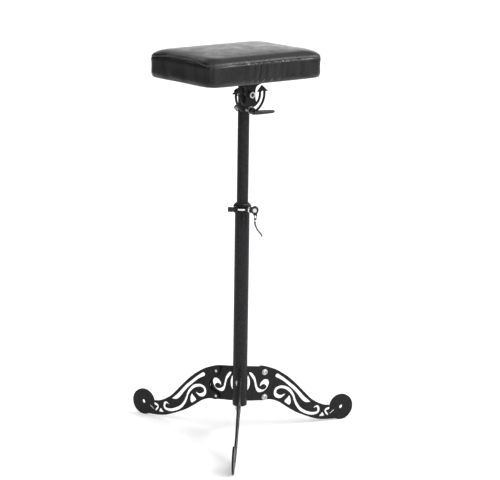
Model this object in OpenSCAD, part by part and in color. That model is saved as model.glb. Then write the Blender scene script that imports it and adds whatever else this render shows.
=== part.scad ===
// Arm rest stand: a cushion that tilts on a telescoping post with three scrolled plate legs.
// The floor is z = 0, the post stands on the z axis and the front leg points to -y.

/* [Post] */
// Outer diameter of the lower tube
outer_od = 32; // [30:0.5:36]
// Outer diameter of the upper tube
inner_od = 25; // [22:0.5:26]
// Wall of both tubes
tube_wall = 1.5; // [1.2:0.1:1.8]
// Height of the lower tube's bottom end
outer_low = 71; // [66:1:74]
// Height of the lower tube's top end
outer_top = 520; // [490:5:550]
// Height of the upper tube's top end at the drawn setting
inner_top = 780; // [750:1:800]
// Length of the upper tube
inner_len = 525; // [480:5:560]
// Length of the plastic bush between the tubes
bush_len = 50; // [40:1:60]
// Length of the slit that lets the lower tube close on the upper one
slit_len = 34; // [28:1:38]
// Width of that slit
slit_w = 2.6; // [2:0.1:3.4]

/* [Legs] */
// Distance from the post's axis to the centre of a foot
leg_reach = 259; // [245:1:280]
// Radius of the round foot at the end of a leg
foot_r = 29.5; // [28:0.5:33]
// Diameter of the hole through a foot
foot_hole_d = 9; // [6:0.5:12]
// Plate thickness of a leg
leg_t = 4; // [3:0.5:5]
// Plate thickness of a wing
wing_t = 4; // [3:0.5:5]
// Distance from the post's axis to the leg bolts
bolt_u = 60; // [57:1:64]
// Height of the lower leg bolt
bolt_low = 79; // [77:1:83]
// Distance between the two bolts of a leg
bolt_gap = 58; // [55:1:60]
// Diameter of a leg bolt
bolt_d = 6; // [5:1:8]
// Diameter of a leg bolt's flanged head
bolt_head_d = 13.6; // [12:0.2:15]
// Height of a leg bolt's head
bolt_head_h = 3.8; // [3:0.2:5]
// Greatest width of the long slot along a leg's back
leg_slot_w = 9; // [7:0.5:10]
// Greatest width of the S-shaped scroll in a leg
scroll_w = 8; // [6:0.5:9]

/* [Height clamp] */
// Outer diameter of the split collar
collar_od = 39; // [38:0.5:42]
// Height of the collar
collar_h = 16; // [15:0.5:20]
// Distance between the collar's two ears
ear_gap = 15.7; // [13:0.1:18]
// Thickness of an ear
ear_t = 6.6; // [5:0.2:8]
// Diameter of the clamp rod
rod_d = 5; // [4:0.2:5.4]
// Diameter of the adjusting nut
nut_d = 10.8; // [10:0.2:12.4]
// Length of the adjusting nut
nut_len = 14.8; // [12:0.2:18]
// Diameter of the cam pin
pin_d = 9; // [8:0.2:9.4]
// Radius of the clamp lever's round cam head
cam_r = 8.3; // [7.6:0.1:8.8]
// Width of the clamp lever
clamp_lever_w = 8.5; // [8:0.5:12]
// Distance from the pin down to the tip of the clamp lever
clamp_lever_drop = 58; // [50:1:70]

/* [Tilt head] */
// Turn of the head about the post at the drawn setting
head_turn = 42.6; // [0:0.1:90]
// Distance from the top of the upper tube down to the tilt pivot
pivot_drop = 17.5; // [15:0.5:20]
// Distance from the pivot up to the cushion's underside
flange_rise = 33.2; // [32:0.1:40]
// Radius of the tilt slot's centre line about the pivot
slot_r = 33; // [31:0.5:35]
// Width of the tilt slot
slot_w = 8.8; // [8.6:0.1:9.4]
// Width of the curved arms round the slot
arm_w = 15.4; // [14.8:0.1:17]
// Plate thickness of the tilt bracket
bracket_t = 4; // [3:0.5:4]
// Distance from the post's axis to the front of the tilt plate
plate_face = 23; // [21.5:0.5:25]
// Narrowest width of the plate's shank
shank_w = 25; // [22:0.5:27]
// Width of the bracket's top flange
flange_w = 60; // [58:1:72]
// Length of the bracket's top flange, front to back
flange_len = 100; // [80:1:120]
// Diameter of the pivot bolt and of the clamp stud
stud_d = 8; // [6:0.5:8]
// Outer diameter of the sleeve round the pivot bolt
pivot_sleeve_d = 14; // [12:0.5:15]
// Outer diameter of the sleeve round the clamp stud
clamp_sleeve_d = 12; // [11:0.5:13]
// Length of the tilt lever from its stud
handle_len = 57; // [52:1:64]

/* [Cushion] */
// Length of the cushion
cushion_l = 308; // [280:2:340]
// Width of the cushion
cushion_w = 220; // [200:2:240]
// Height of the cushion
cushion_h = 61.5; // [54:0.5:72]
// Distance of the cushion's centre behind the post's axis
cushion_back = 27; // [20:1:34]
// Corner radius of the cushion seen from above
corner_r = 22; // [18:1:30]
// Width of the rounded edge round the cushion's top
edge_w = 24; // [18:1:34]
// Height of the rounded edge round the cushion's top
edge_h = 17; // [13:1:22]
// Thickness of the wooden board in the cushion
board_t = 9; // [8:1:12]

/* [Hidden] */

$fn = 64;
// How far a cutting solid runs past what it cuts
cut = 2;
// Radial clearances: a fixed fit, a running fit, and a hole that a part passes freely
fit_gap = 0.03;
run_gap = 0.07;
free_gap = 0.3;
// Steps between two points of a smooth curve
steps = 3;

steel_black = [0.13, 0.13, 0.14];
plastic_black = [0.08, 0.08, 0.09];
bright = [0.78, 0.78, 0.8];
leather_grey = [0.32, 0.32, 0.33];

// Tubes, plug, bush, glide and cap
outer_id = outer_od - 2 * tube_wall;
inner_id = inner_od - 2 * tube_wall;
slit_hole_d = 1.4 * slit_w;
plug_head = 3;
plug_len = 16;
plug_wall = 2;
bush_lip = 4.5;
bush_cone = 2.5;
glide_head = 12;
spigot_len = 20;
spigot_wall = 2.5;
cap_h = 3;
cap_spigot = 7;
inner_low = inner_top - inner_len;

// Turn of the front leg, step from leg to leg, and the middle of a leg's two bolts
front_angle = -90;
leg_step = 120;
bolt_mid = bolt_low + bolt_gap / 2;
bolt_flange = 1.1;
bolt_dome_d = 0.8 * bolt_head_d;
bolt_socket_d = 4.6;
bolt_socket_h = 2;

// Outlines run clockwise.
// A leg's outline as shares: along its reach from the bolts, and of the bolt gap above its slope
leg_shares = [[-0.04, 0.69], [0, 0.72], [0.05, 0.733], [0.1, 0.735], [0.15, 0.73], [0.2, 0.7],
    [0.3, 0.6], [0.4, 0.43], [0.5, 0.21], [0.6, -0.01], [0.65, -0.07], [0.7, -0.107],
    [0.75, -0.125], [0.8, -0.12], [0.86, -0.08], [0.95, -0.2], [0.94, -0.5], [0.88, -0.6],
    [0.8, -0.69], [0.75, -0.735], [0.7, -0.77], [0.65, -0.785], [0.55, -0.783], [0.45, -0.76],
    [0.4, -0.735], [0.3, -0.65], [0.25, -0.59], [0.2, -0.54], [0.15, -0.52], [0.1, -0.525],
    [0.05, -0.565], [0, -0.635], [-0.03, -0.62], [-0.042, -0.535], [-0.03, -0.455],
    [0, -0.345], [0.05, -0.235], [0.08, -0.08], [0.09, 0.07], [0.07, 0.2], [0.03, 0.28],
    [0, 0.31], [-0.035, 0.4], [-0.05, 0.53], [-0.05, 0.62]];
// Middle of the long slot, with its width as a share of the slot's greatest width
leg_slot_shares = [[0.17, 0.5, 0.94], [0.25, 0.43, 0.72], [0.35, 0.27, 0.78],
    [0.4, 0.18, 0.83], [0.45, 0.06, 0.89], [0.5, -0.08, 1], [0.55, -0.165, 0.89],
    [0.605, -0.175, 0.1]];
// Middle of the S-shaped scroll, with its width as a share of the scroll's greatest width
scroll_shares = [[0.287, -0.115, 0.2], [0.262, -0.2, 0.6], [0.225, -0.3, 0.94],
    [0.19, -0.325, 1], [0.158, -0.29, 1], [0.15, -0.18, 1], [0.165, -0.05, 1],
    [0.205, 0.06, 0.9], [0.255, 0.11, 0.81], [0.31, 0.095, 0.81], [0.355, 0, 0.78],
    [0.385, -0.12, 0.75], [0.4, -0.26, 0.75], [0.425, -0.42, 0.8], [0.465, -0.56, 0.81],
    [0.52, -0.63, 0.81], [0.6, -0.64, 0.86], [0.66, -0.585, 0.88], [0.705, -0.48, 0.92],
    [0.71, -0.34, 0.86], [0.69, -0.27, 0.6], [0.66, -0.33, 0.5], [0.635, -0.42, 0.2]];
// Curved triangle beside the scroll, and the small one beside the foot
triangle_shares = [[0.33, -0.15], [0.353, -0.29], [0.355, -0.436], [0.337, -0.54],
    [0.295, -0.5], [0.266, -0.443], [0.308, -0.25]];
small_triangle_shares = [[0.761, -0.443], [0.789, -0.55], [0.773, -0.6], [0.718, -0.65],
    [0.741, -0.52]];
// Hook and slit at the foot, with widths as shares of the scroll's greatest width
hook_shares = [[0.84, -0.22, 0.85], [0.805, -0.3, 0.75], [0.8, -0.38, 0.65],
    [0.815, -0.44, 0.62], [0.832, -0.48, 0.55]];
foot_slit_shares = [[0.864, -0.393, 0.48], [0.907, -0.236, 0.48]];

// A wing's outline as shares of the bolts' distance and of the bolt gap from the bolts' middle
wing_shares = [[0, 0.82], [0.2, 0.82], [0.5, 0.78], [0.8, 0.74], [1, 0.7], [1.13, 0.62], [1.17, 0.5],
    [1.17, 0.4], [1.22, 0.28], [1.29, 0.12], [1.3, -0.04], [1.26, -0.2], [1.18, -0.33],
    [1.15, -0.46], [1.1, -0.58], [1, -0.63], [0.7, -0.597], [0.5, -0.58], [0.2, -0.545], [0, -0.54]];
// Round notch of a wing at the tube, from its top to its bottom
notch_shares = [[0.1, 0.448], [0.3, 0.44], [0.37, 0.37], [0.415, 0.24], [0.425, 0.138],
    [0.415, 0.03], [0.37, -0.1], [0.3, -0.165], [0.1, -0.172]];
// The spiral through a wing, anticlockwise: outer side from the thin end, inner side back
spiral_shares = [[0.368, 0.555], [0.368, 0.53], [0.455, 0.38], [0.564, 0.207],
    [0.609, 0], [0.68, -0.207], [0.8, -0.293], [0.955, -0.286], [1.11, -0.2],
    [1.19, -0.064], [1.21, 0.04], [1.155, 0.164], [1, 0.207], [0.855, 0.107],
    [0.809, -0.03], [0.827, -0.066], [0.87, -0.05], [0.918, -0.015], [0.973, 0.005],
    [1.036, -0.007], [1.09, -0.1], [1.01, -0.19], [0.873, -0.186], [0.745, -0.093],
    [0.691, 0.093], [0.636, 0.307], [0.518, 0.486], [0.4, 0.565]];

// Split collar, its ears and what the rod carries
clamp_turn = -1;
collar_lip = 3;
collar_cone = 4;
collar_slit = 3;
ear_r = 6.5;
ear_step = 0.5;
rod_out = 4;
rod_in = 1.3;
rod_bite = 3;
nut_flange_d = 13.6;
nut_cone = 4;
nut_edge = 0.8;
cup_len = 4.2;
cup_d = 12;
cup_cone = 2;
cam_gap = 0.3;
seat_d = 13;
seat_len = 3.6;
seat_floor = 1.3;
cam_off = 0.2;
fork_w = rod_d + 2 * free_gap;
fork_floor = 3.2;
pin_out = 0.5;
collar_top = outer_top + collar_lip;
collar_low = collar_top - collar_h;
clamp_z = collar_low + ear_r + ear_step;
rod_y = collar_od / 2 + rod_out;
ear_out = ear_gap / 2 + ear_t;
seat_x = ear_out + cup_len;
pin_x = seat_x + seat_floor + cam_gap + cam_r + cam_off;
// The clamp lever's middle as shares of its drop, with widths as shares of its neck
lever_neck = 7;
lever_shares = [[0.01, 0.1, 1.3], [0.03, 0.22, 1], [0.022, 0.31, 0.8], [0.012, 0.44, 0.56],
    [0.02, 0.547, 0.4], [0.056, 0.634, 0.33], [0.104, 0.734, 0.31], [0.17, 0.814, 0.31],
    [0.232, 0.888, 0.31], [0.285, 0.98, 0.31]];
// Three holes down the neck: how far out, the top, the bottom and the width
lever_hole_shares = [[0.028, 0.225, 0.275, 0.58], [0.017, 0.38, 0.425, 0.4], [0.014, 0.505, 0.515, 0.2]];

// Places along the pivot and stud axes, and of the head's hardware
friction_t = 1;
friction_d = 18;
pivot_washer_t = 1.6;
pivot_washer_d = 16.5;
hex_af = 13;
hex_head_h = 5.3;
hex_nut_h = 4.8;
nut_sink = 0.5;
sleeve_gap = 0.2;
stud_washer_t = 2;
stud_washer_d = 16.5;
rear_washer_t = 1;
stud_head_d = 9.5;
stud_head_h = 7;
hub_len = 8;
hub_d = 15;
hub_front_d = 12.6;
insert_d = 10.6;
stud_short = 1;
handle_lean = 6;
handle_slope = 1;
handle_offset = 5.2;
handle_root_d = 7.4;
handle_d = 7.2;
handle_tip_d = 3.8;
plate_back = plate_face - bracket_t;
nut_back = plate_face + pivot_washer_t;
pivot_z = inner_top - pivot_drop;
stud_z = pivot_z - slot_r;
cushion_z = pivot_z + flange_rise;
hub_back = plate_face + stud_washer_t;

// Tilt plate: how far its slot runs up each side, its arrow heads and its shank
slot_end = 93;
arrow_w = 28;
arrow_low = 4.5;
arrow_h = 13;
arrow_in = 1;
arrow_lap = 2;
bend_lap = 2;
bend_r = 5;
flare_in = 2;
flare_drop = 12.1;
// The shank's edge below its flare, down to the arms: shares of its half width and of the rise
shank_shares = [[1.51, 0.55], [1.15, 0.4], [1.03, 0.2], [1, 0], [1.06, -0.25], [1.2, -0.47],
    [1.31, -0.53], [1.44, -0.52]];
screw_d = 4.2;
screw_head_d = 8.4;
screw_head_h = 2.6;
screw_tip = 1;
screw_x = 20;
screw_front = 14;
screw_rear = 12;

// Cushion: crown, drawn-in sides, tucked lower edge, and the board's margin and corners
crown = 4.5;
side_pull = 4;
tuck = 7;
board_edge = 24;
board_r = 12;
arc_n = 8;
side_n = 6;
// Rings of the cushion's side: how far in, as a share of the tuck, and how high
side_shares = [[1, 0], [0.45, 0.04], [0.2, 0.12], [0.25, 0.28], [0.28, 0.42], [0.12, 0.54]];
edge_steps = 6;
top_steps = 4;

// Point between b and c on the smooth curve through a, b, c and d
function between(a, b, c, d, t) = (2 * b + (c - a) * t
    + (2 * a - 5 * b + 4 * c - d) * t * t + (3 * b - a - 3 * c + d) * t * t * t) / 2;
// Smooth curve through the points of p, and smooth loop through them
function curve(p) = [for (i = [0 : len(p) - 2], k = [0 : steps - 1])
    between(p[max(i - 1, 0)], p[i], p[i + 1], p[min(i + 2, len(p) - 1)], k / steps),
    p[len(p) - 1]];
function loop(p) = [for (i = [0 : len(p) - 1], k = [0 : steps - 1])
    between(p[(i + len(p) - 1) % len(p)], p[i], p[(i + 1) % len(p)], p[(i + 2) % len(p)],
        k / steps)];
// Direction of a curve at its point i, and one edge of a band along it
function heading(c, i) = let (d = c[min(i + 1, len(c) - 1)] - c[max(i - 1, 0)])
    [d[0], d[1]] / norm([d[0], d[1]]);
function edge(c, side) = [for (i = [0 : len(c) - 1]) let (h = heading(c, i))
    [c[i][0] - side * h[1] * c[i][2], c[i][1] + side * h[0] * c[i][2]]];
function backward(p) = [for (i = [len(p) - 1 : -1 : 0]) p[i]];
function arc(r, from, to, n) = [for (k = [0 : n]) let (a = from + (to - from) * k / n)
    r * [cos(a), sin(a)]];
// Places on a leg and on a wing, from shares
function leg_at(p) = [bolt_u + p[0] * (leg_reach - bolt_u),
    (1 - p[0]) * bolt_mid + p[0] * foot_r + p[1] * bolt_gap];
function wing_at(p) = [p[0] * bolt_u, bolt_mid + p[1] * bolt_gap];
function leg_band(shares, width) = [for (p = shares) [each leg_at(p), p[2] * width / 2]];

module at_leg(i) rotate([0, 0, front_angle + i * leg_step]) children();
module at_clamp() rotate([0, 0, clamp_turn]) children();
module at_head() rotate([0, 0, head_turn]) children();
// A sheet that stands upright: its outline is drawn in x and z, from y0 to y0 + t
module sheet(y0, t) translate([0, y0 + t, 0]) rotate([90, 0, 0]) linear_extrude(t) children();
module bar_y(d, y0, y1) translate([0, y1, 0]) rotate([90, 0, 0]) cylinder(d = d, h = y1 - y0);
module hex_y(af, y0, y1)
    translate([0, y1, 0]) rotate([90, 30, 0]) cylinder(d = af / cos(30), h = y1 - y0, $fn = 6);
module bar_x(d, x0, x1) translate([x0, 0, 0]) rotate([0, 90, 0]) cylinder(d = d, h = x1 - x0);
// A polygon whose points run clockwise
module outline(p) polygon(backward(p));
// A band along a curve whose points hold x, y and half the width, with round ends
module band(c) {
    outline(concat(edge(c, 1), backward(edge(c, -1))));
    for (e = [c[0], c[len(c) - 1]]) translate([e[0], e[1]]) circle(r = e[2]);
}

module outer_tube() color(steel_black) difference() {
    translate([0, 0, outer_low]) cylinder(d = outer_od, h = outer_top - outer_low);
    translate([0, 0, outer_low - cut]) cylinder(d = outer_id, h = outer_top - outer_low + 2 * cut);
    at_clamp() translate([-slit_w / 2, -outer_od, outer_top - slit_len])
        cube([slit_w, outer_od, slit_len + cut]);
    at_clamp() translate([0, 0, outer_top - slit_len]) bar_y(slit_hole_d, -outer_od, 0);
}

module tube_end_plug() color(plastic_black) translate([0, 0, outer_low - plug_head])
    rotate_extrude() polygon(concat(
        [for (p = arc(plug_head, -90, 0, steps)) [outer_od / 2 - plug_head, plug_head] + p],
        [[outer_id / 2 - fit_gap, plug_head], [outer_id / 2 - fit_gap, plug_len],
        [outer_id / 2 - plug_wall, plug_len], [outer_id / 2 - plug_wall, plug_head],
        [0, plug_head], [0, 0]]));

module guide_bush() color(plastic_black) difference() {
    rotate_extrude() polygon([[inner_od / 2 + run_gap, outer_top - bush_len],
        [outer_id / 2 - fit_gap, outer_top - bush_len], [outer_id / 2 - fit_gap, outer_top],
        [outer_od / 2, outer_top], [outer_od / 2, outer_top + bush_lip - bush_cone],
        [inner_od / 2 + bush_lip - bush_cone, outer_top + bush_lip],
        [inner_od / 2 + run_gap, outer_top + bush_lip]]);
    at_clamp() translate([-slit_w / 2, -outer_od, outer_top - slit_len])
        cube([slit_w, outer_od, slit_len + bush_lip + cut]);
}

// Wing: a flat plate that stands on the tube's side, with a notch, a spiral and two bolt holes
module wing(i) color(steel_black) at_leg(i) difference() {
    sheet(-wing_t / 2, wing_t) difference() {
        outline([for (p = loop(wing_shares)) wing_at(p)]);
        outline([for (p = curve(notch_shares)) wing_at(p)]);
        polygon([for (p = loop(spiral_shares)) wing_at(p)]);
    }
    translate([0, 0, outer_low - cut]) cylinder(d = outer_od, h = outer_top);
    for (z = [bolt_low, bolt_low + bolt_gap]) translate([bolt_u, 0, z])
        bar_y(bolt_d + 2 * fit_gap, -wing_t, wing_t);
}

// Leg: one flat plate with its scrolled cut-outs, two bolt holes and the hole in its foot
module leg(i) color(steel_black) at_leg(i) difference() {
    sheet(wing_t / 2, leg_t) difference() {
        union() {
            outline([for (p = loop(leg_shares)) leg_at(p)]);
            translate([leg_reach, foot_r]) circle(r = foot_r);
        }
        band(curve(leg_band(leg_slot_shares, leg_slot_w)));
        band(curve(leg_band(scroll_shares, scroll_w)));
        band(curve(leg_band(hook_shares, scroll_w)));
        band(leg_band(foot_slit_shares, scroll_w));
        outline([for (p = loop(triangle_shares)) leg_at(p)]);
        outline([for (p = loop(small_triangle_shares)) leg_at(p)]);
    }
    for (z = [bolt_low, bolt_low + bolt_gap]) translate([bolt_u, 0, z])
        bar_y(bolt_d + 2 * fit_gap, 0, wing_t / 2 + leg_t + cut);
    translate([leg_reach, 0, foot_r]) bar_y(foot_hole_d, 0, wing_t / 2 + leg_t + cut);
}

// Bolt along z: the shank runs up from 0, the head hangs below 0
module leg_bolt(len) difference() {
    union() {
        cylinder(d = bolt_d, h = len);
        translate([0, 0, -bolt_flange]) cylinder(d = bolt_head_d, h = bolt_flange);
        rotate_extrude() polygon(concat([[0, -bolt_flange]], [for (a = [0 : 15 : 90])
            [bolt_dome_d / 2 * cos(a), -bolt_flange - (bolt_head_h - bolt_flange) * sin(a)]]));
    }
    translate([0, 0, -bolt_head_h - cut])
        cylinder(d = bolt_socket_d, h = bolt_socket_h + cut, $fn = 6);
}

module leg_bolts() color(bright) for (i = [0 : 2], z = [bolt_low, bolt_low + bolt_gap])
    at_leg(i) translate([bolt_u, -wing_t / 2, z]) rotate([-90, 0, 0]) leg_bolt(wing_t + leg_t);

module clamp_collar() color(steel_black) at_clamp() difference() {
    union() {
        rotate_extrude() polygon([[0, collar_low], [collar_od / 2, collar_low],
            [collar_od / 2, collar_top - collar_cone], [outer_od / 2 + free_gap, collar_top],
            [0, collar_top]]);
        for (x = [-ear_out, ear_gap / 2]) {
            translate([x, -rod_y, clamp_z - ear_r]) cube([ear_t, rod_y - outer_od / 4, 2 * ear_r]);
            translate([0, -rod_y, clamp_z]) bar_x(2 * ear_r, x, x + ear_t);
        }
    }
    translate([0, 0, collar_low - cut]) cylinder(d = outer_od + 2 * fit_gap, h = collar_h + 2 * cut);
    translate([-collar_slit / 2, -collar_od, collar_low - cut])
        cube([collar_slit, collar_od, collar_h + 2 * cut]);
    translate([0, -rod_y, clamp_z]) bar_x(rod_d + 2 * free_gap, -ear_out - cut, ear_out + cut);
}

module clamp_rod() color(bright) at_clamp() translate([0, -rod_y, clamp_z])
    bar_x(rod_d, -ear_out - nut_len + rod_in, pin_x + rod_bite);

module clamp_nut() color(plastic_black) at_clamp()
    translate([-ear_out, -rod_y, clamp_z]) rotate([0, -90, 0]) difference() {
        rotate_extrude() polygon([[0, 0], [nut_flange_d / 2, 0],
            [nut_flange_d / 2, nut_edge], [nut_d / 2, nut_cone],
            [nut_d / 2, nut_len - nut_edge], [nut_d / 2 - nut_edge, nut_len], [0, nut_len]]);
        translate([0, 0, -cut]) cylinder(d = rod_d + 2 * run_gap, h = nut_len + 2 * cut);
    }

module clamp_washer() color(bright) at_clamp()
    translate([ear_out, -rod_y, clamp_z]) rotate([0, 90, 0]) difference() {
        rotate_extrude() polygon([[0, 0], [cup_d / 2, 0], [cup_d / 2, cup_len - cup_cone],
            [cup_d / 2 - cup_cone, cup_len], [0, cup_len]]);
        translate([0, 0, -cut]) cylinder(d = rod_d + 2 * free_gap, h = cup_len + 2 * cut);
    }

// Hollowed washer that the cam head turns in
module clamp_seat() color(plastic_black) at_clamp() translate([0, -rod_y, clamp_z]) difference() {
    bar_x(seat_d, seat_x, seat_x + seat_len);
    bar_x(rod_d + 2 * free_gap, seat_x - cut, pin_x);
    translate([pin_x, 0, 0]) bar_y(2 * (cam_r + cam_off + cam_gap), -seat_d, seat_d);
}

module clamp_pin() color(bright) at_clamp() translate([pin_x, -rod_y, clamp_z]) difference() {
    bar_y(pin_d, -clamp_lever_w / 2 - pin_out, clamp_lever_w / 2 + pin_out);
    bar_x(rod_d + 2 * fit_gap, -pin_d, rod_bite);
}

// Clamp lever: an eccentric round head split into a fork, a pierced neck and a thin curved tail
module clamp_lever() color(steel_black) at_clamp()
    translate([pin_x, -rod_y, clamp_z]) difference() {
        sheet(-clamp_lever_w / 2, clamp_lever_w) difference() {
            union() {
                translate([-cam_off, 0]) circle(r = cam_r);
                band([for (p = curve(lever_shares)) [p[0] * clamp_lever_drop,
                    -p[1] * clamp_lever_drop, p[2] * lever_neck / 2]]);
            }
            for (p = lever_hole_shares) band([for (drop = [p[1], p[2]])
                [p[0] * clamp_lever_drop, -drop * clamp_lever_drop, p[3] * lever_neck / 2]]);
        }
        bar_y(pin_d + 2 * run_gap, -clamp_lever_w, clamp_lever_w);
        translate([-2 * cam_r, -fork_w / 2, -fork_floor])
            cube([4 * cam_r, fork_w, fork_floor + 2 * cam_r]);
    }

module lower_glide() color(plastic_black) translate([0, 0, inner_low]) difference() {
    union() {
        translate([0, 0, -glide_head]) cylinder(d = outer_id - 2 * run_gap, h = glide_head);
        cylinder(d = inner_id - 2 * run_gap, h = spigot_len);
    }
    translate([0, 0, -glide_head - cut])
        cylinder(d = inner_id - 2 * spigot_wall, h = glide_head + spigot_len + 2 * cut);
}

module inner_tube() color(steel_black) at_head() difference() {
    translate([0, 0, inner_low]) cylinder(d = inner_od, h = inner_len);
    translate([0, 0, inner_low - cut]) cylinder(d = inner_id, h = inner_len + 2 * cut);
    translate([0, 0, pivot_z]) bar_y(pivot_sleeve_d + 2 * fit_gap, -inner_od, inner_od);
    translate([0, 0, stud_z]) bar_y(clamp_sleeve_d + 2 * fit_gap, -inner_od, inner_od);
}

module tube_top_cap() color(plastic_black) translate([0, 0, inner_top]) rotate_extrude()
    polygon(concat([[0, 0], [inner_id / 2 - plug_wall, 0], [inner_id / 2 - plug_wall, -cap_spigot],
        [inner_id / 2 - fit_gap, -cap_spigot], [inner_id / 2 - fit_gap, 0]],
        [for (p = arc(cap_h, 0, 90, steps)) [inner_od / 2 - cap_h, 0] + p], [[0, cap_h]]));

module pivot_sleeve() color(bright) at_head() translate([0, 0, pivot_z]) difference() {
    bar_y(pivot_sleeve_d, -plate_back + friction_t, plate_back);
    bar_y(stud_d + 2 * sleeve_gap, -plate_face, plate_face);
}

module clamp_sleeve() color(bright) at_head() translate([0, 0, stud_z]) difference() {
    bar_y(clamp_sleeve_d, -plate_back, plate_back);
    bar_y(stud_d + 2 * sleeve_gap, -plate_face, plate_face);
}

module pivot_bolt() color(bright) at_head() translate([0, 0, pivot_z]) {
    bar_y(stud_d, -nut_back - hex_nut_h + nut_sink, plate_back + pivot_washer_t);
    hex_y(hex_af, plate_back + pivot_washer_t, plate_back + pivot_washer_t + hex_head_h);
}

module pivot_nut() color(bright) at_head() translate([0, 0, pivot_z]) difference() {
    hex_y(hex_af, -nut_back - hex_nut_h, -nut_back);
    bar_y(stud_d + 2 * fit_gap, -nut_back - hex_nut_h - cut, -nut_back + cut);
}

module pivot_washers() color(bright) at_head() translate([0, 0, pivot_z]) difference() {
    union() {
        bar_y(pivot_washer_d, -nut_back, -plate_face);
        bar_y(pivot_washer_d, plate_back, plate_back + pivot_washer_t);
    }
    bar_y(stud_d + 2 * sleeve_gap, -nut_back - cut, plate_back + pivot_washer_t + cut);
}

module friction_washer() color("white") at_head() translate([0, 0, pivot_z]) difference() {
    bar_y(friction_d, -plate_back, -plate_back + friction_t);
    bar_y(stud_d + 2 * sleeve_gap, -plate_face, 0);
}

module clamp_stud() color(steel_black) at_head() translate([0, 0, stud_z]) {
    bar_y(stud_d, -hub_back - hub_len + stud_short, plate_back + rear_washer_t);
    bar_y(stud_head_d, plate_back + rear_washer_t, plate_back + rear_washer_t + stud_head_h);
}

module stud_washers() color(bright) at_head() translate([0, 0, stud_z]) difference() {
    union() {
        bar_y(stud_washer_d, -hub_back, -plate_face);
        bar_y(stud_washer_d, plate_back, plate_back + rear_washer_t);
    }
    bar_y(stud_d + 2 * sleeve_gap, -hub_back - cut, plate_back + rear_washer_t + cut);
}

// Lever on the clamp stud: a conical hub with a round arm that leans away from the plate
module tilt_lever() color(plastic_black) at_head() translate([0, -hub_back, stud_z]) difference() {
    union() {
        rotate([90, 0, 0]) cylinder(d1 = hub_d, d2 = hub_front_d, h = hub_len);
        translate([0, -hub_len / 2, -handle_offset])
            rotate([0, 90 + handle_slope, -handle_lean]) rotate_extrude() polygon(concat(
                [[0, 0], [handle_root_d / 2, 0], [handle_d / 2, hub_d]],
                [for (p = arc(handle_tip_d / 2, 0, 90, steps))
                    [p[0], handle_len - handle_tip_d / 2 + p[1]]]));
    }
    bar_y(insert_d + 2 * fit_gap, -hub_len - cut, cut);
}

module tilt_lever_insert() color(bright) at_head() translate([0, -hub_back, stud_z]) difference() {
    bar_y(insert_d, -hub_len, 0);
    bar_y(stud_d + 2 * run_gap, -hub_len - cut, cut);
}

// Outline of the tilt plate about the pivot: arms, arrow heads and shank
module tilt_plate_outline() {
    arm_out = slot_r + arm_w / 2;
    difference() {
        circle(r = arm_out);
        circle(r = slot_r - arm_w / 2);
        translate([-arm_out, arrow_low + arrow_lap]) square(2 * arm_out);
    }
    for (side = [0, 1]) mirror([side, 0]) polygon([[slot_r + arrow_in - arrow_w / 2, arrow_low],
        [slot_r + arrow_in + arrow_w / 2, arrow_low], [slot_r - arrow_in, arrow_low + arrow_h]]);
    half = curve(concat([[flange_w / 2 - flare_in, flange_rise - flare_drop]],
        [for (p = shank_shares) [p[0] * shank_w / 2, p[1] * flange_rise]]));
    outline(concat([[flange_w / 2, flange_rise - bend_r]], half,
        [[slot_r * sin(30), -slot_r * cos(30)], [-slot_r * sin(30), -slot_r * cos(30)]],
        [for (p = backward(half)) [-p[0], p[1]]], [[-flange_w / 2, flange_rise - bend_r]]));
}

// The curved slot, round at both ends
module tilt_slot_outline() {
    difference() {
        circle(r = slot_r + slot_w / 2);
        circle(r = slot_r - slot_w / 2);
        polygon([[0, 0], for (a = [slot_end - 90 : (360 - 2 * slot_end) / 4 : 270 - slot_end])
            2 * slot_r * [cos(a), sin(a)]]);
    }
    for (side = [-1, 1]) rotate(side * slot_end) translate([0, -slot_r]) circle(d = slot_w);
}

module tilt_bracket() color(steel_black) at_head() translate([0, 0, pivot_z]) difference() {
    union() {
        sheet(-plate_face, bracket_t) difference() {
            tilt_plate_outline();
            tilt_slot_outline();
        }
        translate([-flange_w / 2, 0, 0]) rotate([90, 0, 90]) linear_extrude(flange_w)
            outline(concat(
                [[-plate_face, flange_rise - bend_r - bend_lap]],
                [for (p = arc(bend_r, 180, 90, steps)) [bend_r - plate_face, flange_rise - bend_r] + p],
                [[flange_len - plate_face, flange_rise],
                [flange_len - plate_face, flange_rise - bracket_t]],
                [for (p = arc(bend_r - bracket_t, 90, 180, steps))
                    [bend_r - plate_face, flange_rise - bend_r] + p],
                [[-plate_back, flange_rise - bend_r - bend_lap]]));
    }
    bar_y(stud_d + 2 * run_gap, -plate_face - cut, -plate_back + cut);
    for (x = [-screw_x, screw_x], y = [screw_front - plate_face, flange_len - plate_face - screw_rear])
        translate([x, y, 0]) cylinder(d = screw_d + 2 * sleeve_gap, h = flange_rise + cut);
}

module board_screws() color(bright) at_head() translate([0, 0, cushion_z])
    for (x = [-screw_x, screw_x], y = [screw_front - plate_face, flange_len - plate_face - screw_rear])
        translate([x, y, -bracket_t]) {
            cylinder(d = screw_d, h = bracket_t + board_t - screw_tip);
            translate([0, 0, -screw_head_h])
                cylinder(d1 = screw_d, d2 = screw_head_d, h = screw_head_h);
        }

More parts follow.
